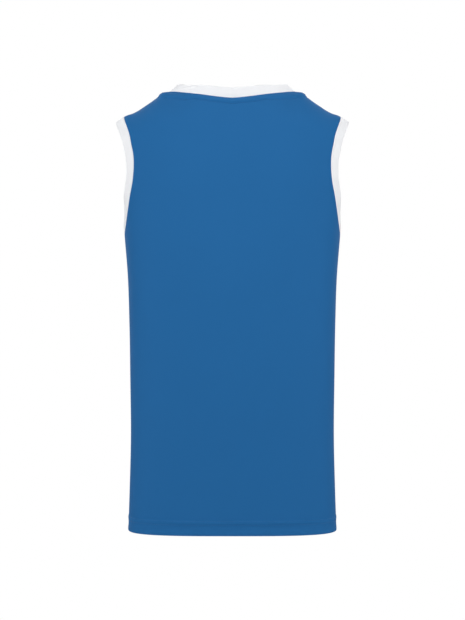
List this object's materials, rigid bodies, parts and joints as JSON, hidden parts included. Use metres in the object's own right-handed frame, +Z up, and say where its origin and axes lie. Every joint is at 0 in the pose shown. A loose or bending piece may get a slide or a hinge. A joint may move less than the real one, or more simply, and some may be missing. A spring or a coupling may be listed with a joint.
{
  "type": "basketball jersey",
  "caption": "Sleeveless knit sports jersey, hollow as worn, with a round neck, deep armholes, contrasting rib bands and a straight hem.",
  "frame": {"origin": "midway between the two points where the shoulder seams meet the neck, where the wearer's shoulders carry the jersey", "axes": "+X to the wearer's left, -Y out of the front, +Y out of the back, +Z up"},
  "size_m": [0.4058, 0.2589, 0.7722],
  "materials": {
    "cloth": "matt fine polyester knit",
    "rib": "matt white rib knit",
    "thread": "matt polyester sewing thread"
  },
  "bodies": {
    "root": {"back": "cloth", "front": "cloth", "neck_band": "rib", "armhole_band_left": "rib", "armhole_band_right": "rib"}
  },
  "joints": []
}
